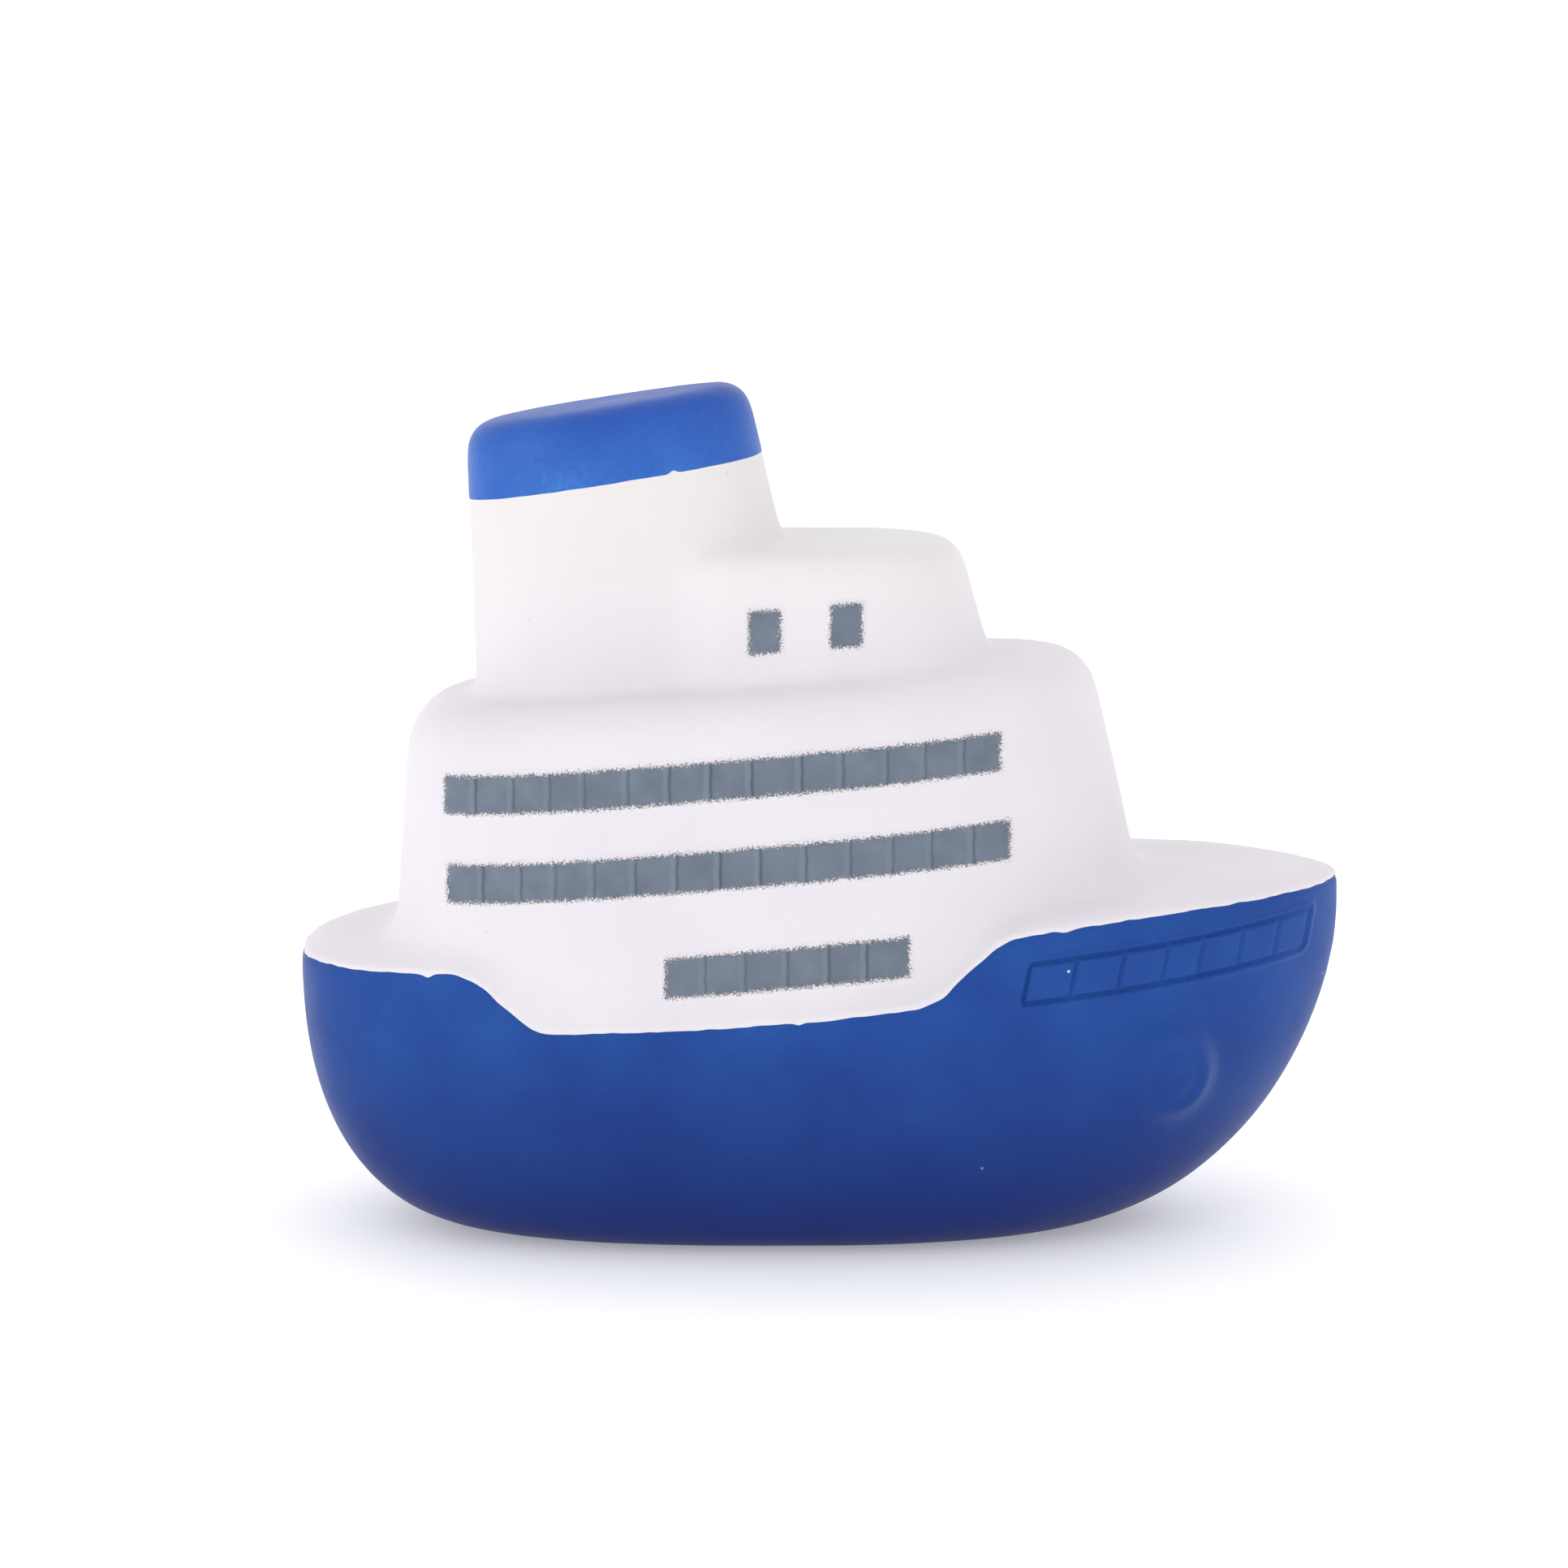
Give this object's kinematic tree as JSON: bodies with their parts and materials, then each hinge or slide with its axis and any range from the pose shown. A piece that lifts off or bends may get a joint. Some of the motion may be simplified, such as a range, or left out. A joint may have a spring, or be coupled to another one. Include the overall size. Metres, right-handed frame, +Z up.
{
  "type": "toy boat",
  "caption": "Chunky floating toy passenger ship with blue hull, white tiered decks, raked funnel, grey window strips and a squeaker plug in its base.",
  "frame": {"origin": "on the table, under the middle of the toy's length and beam", "axes": "+X toward the bow, +Y toward port, +Z up"},
  "size_m": [0.1001, 0.046, 0.081],
  "materials": {
    "blue_vinyl": "satin",
    "white_vinyl": "satin",
    "ivory_vinyl": "satin",
    "cap_blue_vinyl": "satin",
    "window_grey": "matte",
    "plug_vinyl": "satin",
    "squeaker_plastic": "satin",
    "reed_plastic": "gloss",
    "ballast_steel": "satin"
  },
  "bodies": {
    "boat": {"hull_shell": "blue_vinyl", "upper_shell": "white_vinyl", "funnel_collar": "ivory_vinyl", "funnel_cap": "cap_blue_vinyl", "upper_windows_starboard": "window_grey", "upper_windows_port": "window_grey", "lower_windows_starboard": "window_grey", "lower_windows_port": "window_grey", "side_windows_starboard": "window_grey", "side_windows_port": "window_grey", "bridge_window_aft_starboard": "window_grey", "bridge_window_aft_port": "window_grey", "bridge_window_fore_starboard": "window_grey", "bridge_window_fore_port": "window_grey", "ballast_aft": "ballast_steel", "ballast_fore": "ballast_steel"},
    "plug": {"base_plug": "plug_vinyl", "squeaker_body": "squeaker_plastic", "squeaker_cap": "squeaker_plastic"},
    "reed": {"squeaker_reed": "reed_plastic"}
  },
  "joints": [
    {"name": "plug_pull", "type": "slide", "parent": "boat", "child": "plug", "axis": [0, 0, -1], "range_m": [0, 0.012]},
    {"name": "reed_flex", "type": "hinge", "parent": "plug", "child": "reed", "pos_m": [-0.0004, 0, 0.00475], "axis": [0, 1, 0], "range_deg": [-4, 4], "stiffness_Nm_per_rad": 0.01}
  ]
}
